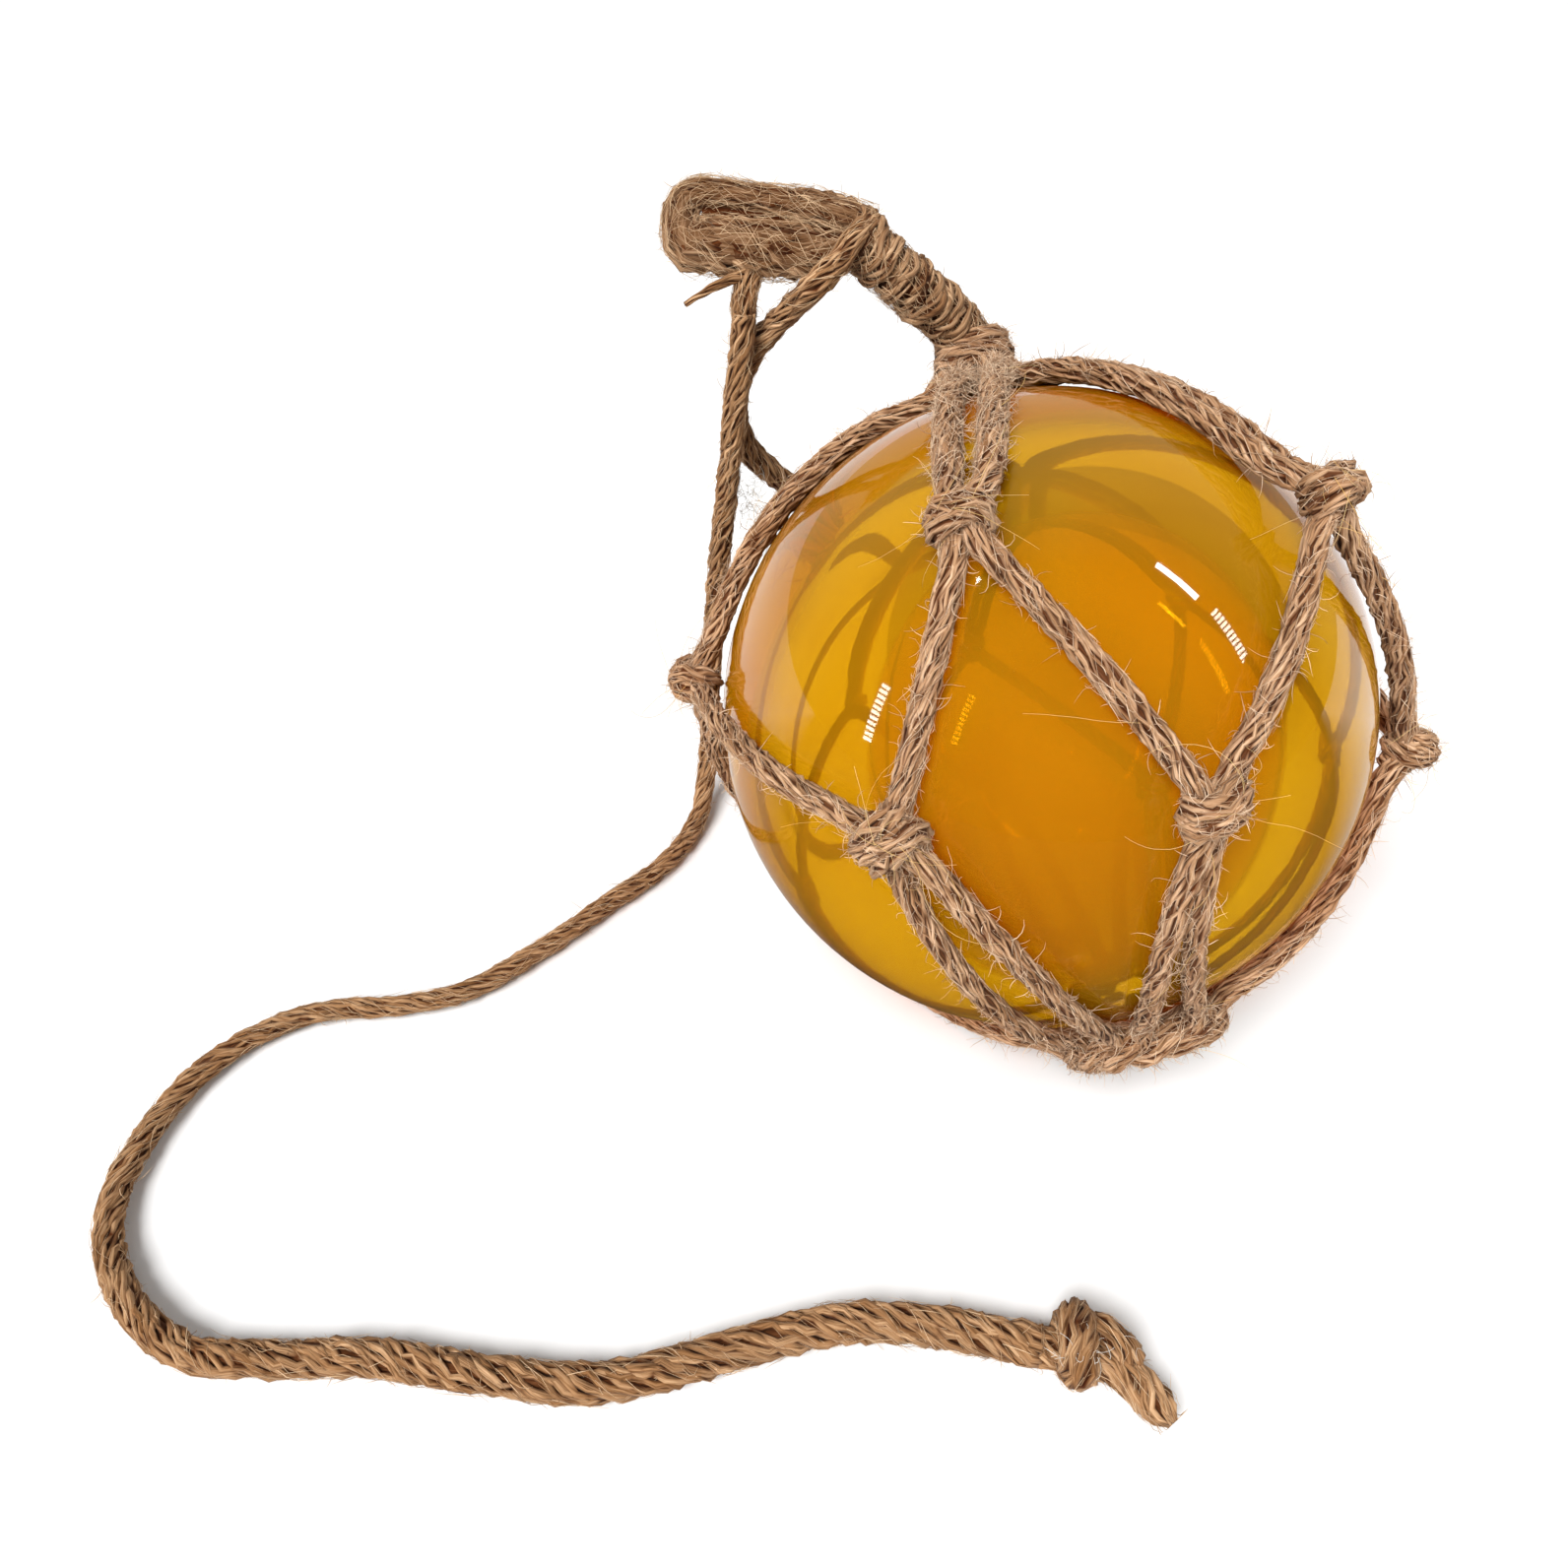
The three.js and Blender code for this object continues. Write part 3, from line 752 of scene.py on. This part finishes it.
def bottom_gather():
    """A ring laid up from three twines, which the pairs of strands are tied to."""
    strands = []
    for k in range(3):
        points = []
        for i in range(61):
            a = 2 * math.pi * i / 60
            b = 2 * math.pi * k / 3 + 4 * a
            d = around_ring(math.degrees(a), 9.4 + 1.6 * math.cos(b))
            points.append(BALL_CENTRE + d * (ORBIT + 1.7 + 1.6 * math.sin(b)))
        line = smooth_line(points, STEP)
        strands += yarns_of(line, BINDING, 410 + k)
        remember("gathers", line, BINDING)
    add_piece(
        "bottom_gather_ring", sweep("bottom_gather_ring", strands), net_jute, "net_twine",
        "bottom_gather",
    )


top_gather()
bottom_gather()


# ---- neck, eye and hitch --------------------------------------------
def served_neck():
    """The strands' core, and the thin cord wound close round it."""
    core = smooth_line(NECK_ROUTE, STEP)
    # the core's depth is low, so it is dark with the painted shade of the valleys
    strands = [(core, np.full(len(core), 3.0), core, np.full(len(core), 4.2), 0.3)]
    route = smooth_line(NECK_ROUTE, 0.08)
    _, side, up = carried_frame(route)
    run = run_of(route)
    rng = np.random.default_rng(502)
    pitch = 2.05
    turn = 2 * math.pi * (run / pitch) + drift(rng, run, 6, 1.7)
    reach = 3.0 + drift(rng, run, 3.5, 0.42) + 0.45 * np.clip(run / run[-1] * 4 - 3, 0, 1)
    leaning = (0.9 + drift(rng, run, 8, 0.5)) * np.sin(turn + 0.8)
    tangent = unit(np.gradient(route, axis=0))
    serving = route + (reach * np.cos(turn))[:, None] * side + (reach * np.sin(turn))[:, None] * up
    serving = spaced(serving + leaning[:, None] * tangent, 0.75)
    strands += yarns_of(serving, 1.18, 503, yarns=7, turn=22, loose=1.8)
    add_piece("served_neck_piece", sweep("served_neck_piece", strands), neck_eye_jute, "tan_cord", "served_neck")
    remember("eye", core, 4.05)


def hanging_eye():
    """A bight of several strands laid side by side, nearly closed."""
    root = np.array(NECK_ROUTE[-1])
    out = unit(np.array([-1, 0.05, 0.02]))
    rise = unit(np.array([0.0, 1.0, 1.0]))
    # along the eye, across it, and the strands' half width there: the far leg, then the near one
    legs = (
        (-3.5, 1.2, 2.9), (1.5, 2.9, 3.0), (6.0, 3.8, 2.9), (12.0, 4.6, 2.5), (18.5, 5.2, 2.3),
        (22.6, 5.0, 2.4), (24.9, 3.2, 2.8), (25.2, 0.0, 3.2), (24.2, -2.3, 4.2), (20.8, -2.5, 4.6),
        (17.0, -2.5, 4.7), (12.0, -2.6, 4.5), (6.0, -2.9, 3.9), (1.5, -2.6, 3.2), (-3.5, -1.0, 2.9),
    )
    line = smooth_line([root + out * a + rise * b for a, b, _ in legs], STEP)
    place = np.linspace(0, len(legs) - 1, len(line))
    size = np.interp(place, range(len(legs)), [half for *_, half in legs])
    facing = unit(np.array([0.0, -1.0, 1.0]))
    flatten = 0.35
    strands = []
    # a radius a little smaller for the strands' depth lessens the painted shade of the valleys on the
    # flattened eye
    for path, thick, middle, radius, number in yarns_of(line, size, 511, yarns=24, turn=120):
        deep = (path - middle) @ facing
        path = path - flatten * deep[:, None] * facing
        strands.append((path, thick, middle, radius * 0.9, number))
    # a filler strand at the bottom of the crease between the legs, dark with painted shade (its depth is low)
    bottom = root - facing * 0.8
    crease = smooth_line([bottom + out * a + rise * b for a, b in ((2, 0.8), (12, 1.8), (22, 2.6))], STEP)
    strands.append((crease, 1.7, crease, np.full(len(crease), 5.0), 0.2))
    add_piece("hanging_eye_piece", sweep("hanging_eye_piece", strands), neck_eye_jute, "tan_cord", "hanging_eye")
    remember("eye", line, size)


def tail_hitch():
    """The tail's way up into the eye, and its short cut end."""
    loop = smooth_line([
        (-46.4, 35.2, 98.6), (-46.3, 35.6, 101.6), (-45.6, 37.2, 103.6), (-44.6, 39.6, 104.4),
    ], STEP)
    strands = yarns_of(loop, 2.0, 521)
    remember("eye", loop, 2.0)
    stub = smooth_line([
        (-44.6, 38.2, 104.9), (-47.4, 36.0, 104.2), (-51.0, 33.6, 103.5), (-55.0, 31.2, 102.0),
    ], 0.6)
    share = run_of(stub) / run_of(stub)[-1]
    strands += yarns_of(stub, 1.0 - 0.65 * share, 522, yarns=6, turn=20)
    add_piece("tail_hitch_piece", sweep("tail_hitch_piece", strands), tan_jute, "tan_cord", "tail_hitch")


served_neck()
hanging_eye()
tail_hitch()


# ---- the end knot ---------------------------------------------------
def end_knot():
    """A thumb knot: the rope's last stretch comes through two turns of itself."""
    core = smooth_line([
        (-4.6, -82.0, 3.3), (-1.0, -82.6, 3.4), (3.0, -83.6, 3.7), (6.4, -85.4, 3.7), (9.4, -88.4, 3.2),
        (11.9, -91.8, 3.0),
    ], STEP)
    share = run_of(core) / run_of(core)[-1]
    size = 2.75 * np.sqrt(np.clip(1 - np.clip((share - 0.84) / 0.17, 0, 1) ** 2, 0.04, 1))
    strands = yarns_of(core, size, 601, yarns=13, turn=27)
    remember("free", core, size)
    upright = np.array([0.0, 0.0, 1.0])
    # each turn's middle, the way it faces, its reach and its radius
    turns = (((-0.4, -82.3, 4.9), -0.20, 3.4, 2.8), ((4.6, -82.4, 4.6), 0.75, 2.8, 2.3))
    for k, (middle, heading, reach, size) in enumerate(turns):
        points = []
        axis = np.array([math.cos(heading), math.sin(heading), 0.0])
        across = np.array([-math.sin(heading), math.cos(heading), 0.0])
        for i in range(19):
            a = 2 * math.pi * i / 18 * 1.02 - 1.3
            points.append(
                np.array(middle) + across * reach * math.cos(a)
                + upright * (reach * 0.72) * math.sin(a) + axis * 0.9 * math.sin(a / 2)
            )
        line = smooth_line(points, STEP)
        strands += yarns_of(line, size, 610 + k, yarns=13, turn=30)
        remember("free", line, size)
    return add_piece(
        "end_knot_piece", sweep("end_knot_piece", strands), tan_jute, "tan_cord", "end_knot"
    )


knot = end_knot()


# ---- loose fibres ---------------------------------------------------
OFF_GLASS, OFF_TABLE = 0.25, 0.15    # how close a fibre may come to either
FIBRE_RADIUS = 0.048
RATE_RADIUS = 2.1                # the fibre rates are those of a cord of this radius
OUTER_ARC, OUTER_SHARE = 2.1, 0.67   # radians to either side of straight out, and the share of a turn


def keep_clear(points):
    """Pushes points out of the glass and up from the table."""
    away = points - BALL_CENTRE
    far = np.linalg.norm(away, axis=-1, keepdims=True)
    least = BALL_RADIUS + OFF_GLASS
    points = np.where(far < least, BALL_CENTRE + away / far * least, points)
    points[..., 2] = np.maximum(points[..., 2], OFF_TABLE)
    return points


def places_round(rng, line, side, up, i, outer):
    """Angles round the cord at the given points, on the side away from the ball if outer."""
    if not outer:
        return rng.uniform(0, 2 * math.pi, len(i))
    outward = unit(line[i] - BALL_CENTRE)
    facing = np.arctan2((outward * up[i]).sum(axis=1), (outward * side[i]).sum(axis=1))
    return facing + rng.uniform(-OUTER_ARC, OUTER_ARC, len(i))


def lying_fibres(rng, line, radius, count, turn, outer, wild):
    """Fibres that follow the lay on the outside of a cord, their ends standing off a little."""
    _, side, up = carried_frame(line)
    spacing = run_of(line)[-1] / (len(line) - 1)
    start = rng.uniform(0, len(line) - 1, count)
    long = rng.uniform(1.8, 6.0, count) * rng.choice([-1, 1], count)
    angle = places_round(rng, line, side, up, start.astype(int), outer)
    slope = 2 * math.pi / turn + rng.normal(0, 0.42 * wild, count) / np.mean(radius)
    wave = rng.normal(0, 0.4, count) / np.mean(radius)
    level = rng.normal(1.0, 0.035, count)
    lift = 0.9 * rng.uniform(0, 1, count) ** 2.5
    stations = []
    for u in np.linspace(0, 1, 4):
        s = np.clip(start + long * u / spacing, 0, len(line) - 1.001)
        i = s.astype(int)
        part = (s - i)[:, None]
        a = angle + slope * long * u + wave * math.sin(math.pi * u)
        high = radius[i] * level + lift * u**2.5
        across = np.cos(a)[:, None] * side[i] + np.sin(a)[:, None] * up[i]
        stations.append(line[i] * (1 - part) + line[i + 1] * part + high[:, None] * across)
    return np.stack(stations, axis=1)


def curled_fibres(rng, line, radius, count, longest, outer):
    """Fibres that leave the cord and curl back."""
    tangent, side, up = carried_frame(line)
    i = rng.integers(0, len(line), count)
    a = places_round(rng, line, side, up, i, outer)
    outward = np.cos(a)[:, None] * side[i] + np.sin(a)[:, None] * up[i]
    heading = unit(
        outward * rng.uniform(0.15, 0.9, count)[:, None] + tangent[i] * rng.normal(0, 1, count)[:, None]
        + np.cross(tangent[i], outward) * rng.normal(0, 0.8, count)[:, None]
    )
    long = np.minimum(1.0 + rng.exponential(0.33 * longest, count), longest)
    bend = unit(rng.normal(0, 1, (count, 3))) * rng.uniform(0.15, 0.75, count)[:, None]
    place = line[i] + outward * (radius[i] * 0.93)[:, None]
    stations = []
    for _ in range(5):
        stations.append(place)
        place = place + heading * (long / 4)[:, None]
        heading = unit(heading + np.cross(heading, bend) + rng.normal(0, 0.08, (count, 3)))
    return np.stack(stations, axis=1)


def fuzz(name, chosen, rates, seed, material, slot, turn=40.0, longest=4.0, outer=False, wild=1.0):
    """Fibres over the cords: rates are those lying and those curling, for each millimetre."""
    rng = np.random.default_rng(seed)
    strands = []
    for line, radius in chosen:
        long = run_of(line)[-1] * float(np.mean(radius)) / RATE_RADIUS * (OUTER_SHARE if outer else 1.0)
        for hairs in (
            lying_fibres(rng, line, radius, int(long * rates[0]), turn, outer, wild),
            curled_fibres(rng, line, radius, int(long * rates[1]), longest, outer),
        ):
            hairs = keep_clear(hairs)
            hairs = hairs[np.linalg.norm(np.diff(hairs, axis=1), axis=2).min(axis=1) > 0.05]
            share = np.linspace(0, 1, hairs.shape[1])
            taper = np.interp(share, (0, 0.15, 0.6, 1), (0.6, 1, 0.9, 0.25)) * FIBRE_RADIUS
            sizes = rng.uniform(0.6, 1.3, len(hairs))[:, None] * taper
            for hair, size, number in zip(hairs, sizes, rng.uniform(0, 1, len(hairs))):
                strands.append((hair, size, None, None, number))
    return add_piece(name, sweep(name, strands, sides=3), material, slot)


def stray_fibres(name, chosen, count, seed):
    """A few long golden fibres that wander off over the glass."""
    rng = np.random.default_rng(seed)
    strands = []
    for line, radius in chosen:
        tangent, side, up = carried_frame(line)
        for _ in range(count):
            i = int(rng.integers(2, len(line) - 2))
            outward = unit(line[i] - BALL_CENTRE)
            beside = unit(np.cross(outward, tangent[i])) * rng.choice([-1, 1])
            heading = unit(
                beside * rng.uniform(0.3, 1) + tangent[i] * rng.normal(0, 0.7) + outward * 0.25
            )
            bend = outward * rng.normal(0, 0.16) + rng.normal(0, 0.05, 3)
            long = rng.uniform(5, 17)
            place, path = line[i] + outward * radius[i] * 0.5, []
            for _ in range(12):
                path.append(place)
                place = place + heading * long / 11
                heading = unit(
                    heading + np.cross(heading, bend) - 0.03 * outward + rng.normal(0, 0.04, 3)
                )
            path = keep_clear(np.array(path))
            strands.append((path, np.linspace(0.04, 0.02, 12), None, None, rng.uniform()))
    return add_piece(name, sweep(name, strands, sides=3), gold_fibre, "net_twine")


def lint(name, spots, seed):
    """Whitish tufts that have caught on the cords."""
    rng = np.random.default_rng(seed)
    strands = []
    for middle, spread, count in spots:
        for _ in range(count):
            place = np.array(middle) + rng.normal(0, 1, 3) * spread
            heading, bend = unit(rng.normal(0, 1, 3)), rng.normal(0, 0.5, 3)
            long, path = rng.uniform(1.5, 4.5), []
            for _ in range(6):
                path.append(place)
                place = place + heading * long / 5
                heading = unit(heading + np.cross(heading, bend))
            path = keep_clear(np.array(path))
            strands.append((path, np.full(6, 0.035), None, None, rng.uniform()))
    return add_piece(name, sweep(name, strands, sides=3), pale_fibre, "tan_cord")


FUZZ_RATES = (4.0, 5.4)
# each tuft's middle, spread and count: between the side cord and the tail, and on the end knot
LINT_SPOTS = (
    ((-46.5, 38.0, 65.5), (1.3, 1.2, 2.2), 90),
    ((-0.5, -84.0, 8.2), (2.2, 1.2, 0.7), 30),
)


def dress_with_fibres():
    """The loose fibres of every cord, those of the net in two pieces."""
    net, knots, gathers = cords["net"], cords["knots"], cords["gathers"]
    fuzz("net_fibres_1", net[:5], FUZZ_RATES, 701, net_fibre, "net_twine", outer=True)
    fuzz("net_fibres_2", net[5:], FUZZ_RATES, 702, net_fibre, "net_twine", outer=True)
    fuzz("knot_fibres", knots, (7.0, 9.0), 703, net_fibre, "net_twine", longest=3.0, outer=True, wild=2.4)
    fuzz("gather_fibres", gathers, (5.0, 6.5), 704, net_fibre, "net_twine", longest=3.0, wild=2.4)
    fuzz(
        "eye_fibres", cords["eye"], (10.0, 3.0), 705, tan_fibre, "tan_cord",
        turn=100.0, longest=2.6, wild=1.5,
    )
    fuzz("cord_fibres", cords["free"], (4.0, 0.6), 706, tan_fibre, "tan_cord", turn=27.0, longest=3.5)
    # the pair above the knot in front is the most frayed
    tops = [(line[:len(line) // 3], radius[:len(line) // 3]) for line, radius in net[3:5]]
    fuzz("pair_fibres", tops, (9.0, 12.0), 708, net_fibre, "net_twine", longest=3.4, outer=True, wild=2.0)
    stray_fibres("stray_fibres", [*net, *knots], 4, 707)
    lint("lint", LINT_SPOTS, 709)


dress_with_fibres()


# ---- stage and light ------------------------------------------------
def mirror_rays(nodes, link):
    """1 for what is seen as a mirror reflection, or else 0."""
    path = nodes.new("ShaderNodeLightPath")
    both = maths(nodes, "MULTIPLY")
    link(path.outputs["Is Glossy Ray"], both.inputs[0])
    link(path.outputs["Is Reflection Ray"], both.inputs[1])
    return both.outputs[0]


def floor():
    """A pale table with a painted dark reflection: seen in the glass, it is painted dim near the front."""
    bm = bmesh.new()
    bmesh.ops.create_grid(bm, x_segments=1, y_segments=1, size=3.0)
    mesh = bpy.data.meshes.new("floor")
    bm.to_mesh(mesh)
    bm.free()
    plane = bpy.data.objects.new("floor", mesh)
    plane.location = (0, 0, -0.0001)
    scene.collection.objects.link(plane)
    material, n, link = new_material("pale floor")
    n["Principled BSDF"].inputs["Roughness"].default_value = 0.6
    spot = n.new("ShaderNodeTexCoord")
    split = n.new("ShaderNodeSeparateXYZ")
    link(spot.outputs["Object"], split.inputs[0])
    # painted dark reflection: for mirror reflection rays the table is painted dim towards the front
    place = n.new("ShaderNodeMapRange")
    set_inputs(place, {"From Min": -0.02, "From Max": 0.05, "To Min": 0.03, "To Max": 0.9})
    link(split.outputs["Y"], place.inputs["Value"])
    mirrored = mix_colour(n, "MIX", 0.0)
    link(mirror_rays(n, link), mirrored.inputs["Factor"])
    mirrored.inputs["A"].default_value = (0.86, 0.86, 0.86, 1)
    link(place.outputs["Result"], mirrored.inputs["B"])
    link(mirrored.outputs["Result"], n["Principled BSDF"].inputs["Base Color"])
    mesh.materials.append(material)


def strip(name, one_end, other_end, wide, power, ribs=0):
    """A narrow lamp that shows as a bright bar in the glass. Its ends are directions seen from the
    ball's middle; ribs are the number of separate cells along it, or none."""
    far = 0.5
    centre = Vector(BALL_CENTRE * MM)
    ends = [centre + Vector(end).normalized() * far for end in (one_end, other_end)]
    along = ends[1] - ends[0]
    data = bpy.data.lights.new(name, "AREA")
    data.shape = "RECTANGLE"
    data.size, data.size_y = wide, along.length
    data.energy = power
    light = bpy.data.objects.new(name, data)
    middle = (ends[0] + ends[1]) / 2
    away = (middle - centre).normalized()
    y = (along - along.dot(away) * away).normalized()
    turn = Matrix((y.cross(away), y, away)).transposed()
    light.matrix_world = Matrix.Translation(middle) @ turn.to_4x4()
    scene.collection.objects.link(light)
    if ribs:
        data.use_nodes = True
        n, link = data.node_tree.nodes, data.node_tree.links.new
        spot = n.new("ShaderNodeNewGeometry")
        split = n.new("ShaderNodeSeparateXYZ")
        link(spot.outputs["Parametric"], split.inputs[0])
        cells = maths(n, "MULTIPLY", ribs)
        link(split.outputs["Y"], cells.inputs[0])
        part = maths(n, "FRACT")
        link(cells.outputs[0], part.inputs[0])
        lit = maths(n, "GREATER_THAN", 0.38)
        link(part.outputs[0], lit.inputs[0])
        link(lit.outputs[0], n["Emission"].inputs["Strength"])


def key_light():
    """Broad daylight from the front left, which shows in no reflection."""
    data = bpy.data.lights.new("key", "SUN")
    data.energy = 4.3
    data.angle = math.radians(32)
    light = bpy.data.objects.new("key", data)
    light.rotation_euler = Vector((-0.34, -0.52, 0.79)).to_track_quat("Z", "Y").to_euler()
    light.visible_glossy = False
    light.visible_transmission = False
    scene.collection.objects.link(light)


def world_light():
    """Pale near the horizon and dim overhead."""
    world = bpy.data.worlds.new("studio")
    scene.world = world
    world.use_nodes = True
    n, link = world.node_tree.nodes, world.node_tree.links.new
    back = n["Background"]
    spot = n.new("ShaderNodeTexCoord")
    split = n.new("ShaderNodeSeparateXYZ")
    link(spot.outputs["Generated"], split.inputs[0])
    greys = ((0.0, 0.5), (0.2, 0.45), (0.5, 0.3), (1.0, 0.25))
    glow = ramp(n, [(place, (grey, grey, grey)) for place, grey in greys])
    link(split.outputs["Z"], glow.inputs["Fac"])
    # the side behind the camera is dark in reflections
    room = ramp(n, [
        (0.0, (0.02, 0.02, 0.02)), (0.50, (0.03, 0.03, 0.03)), (0.64, (0.34, 0.28, 0.16)),
        (1.0, (0.95, 0.84, 0.58)),
    ])
    turned = n.new("ShaderNodeMapRange")
    turned.inputs["From Min"].default_value = -1.0
    link(split.outputs["Y"], turned.inputs["Value"])
    link(turned.outputs["Result"], room.inputs["Fac"])
    seen = mix_colour(n, "MIX", 0.0)
    link(mirror_rays(n, link), seen.inputs["Factor"])
    link(glow.outputs["Color"], seen.inputs["A"])
    link(room.outputs["Color"], seen.inputs["B"])
    link(seen.outputs["Result"], back.inputs["Color"])
    back.inputs["Strength"].default_value = 0.8


floor()
world_light()
key_light()
strip("left strip", (-0.848, -0.286, 0.447), (-0.908, -0.389, 0.158), 0.028, 0.30, ribs=11)
strip("top strip", (0.428, 0.001, 0.904), (0.604, -0.111, 0.790), 0.016, 0.35)
strip("right strip", (0.670, -0.133, 0.730), (0.851, -0.306, 0.426), 0.026, 0.30, ribs=17)
strip("far strip", (-0.464, -0.061, 0.884), (-0.406, -0.021, 0.914), 0.014, 0.06)
scene.view_settings.view_transform = "Standard"
scene.cycles.caustics_refractive = False
scene.cycles.caustics_reflective = False
scene.cycles.max_bounces = 16
scene.cycles.transmission_bounces = 16
scene.cycles.transparent_max_bounces = 24
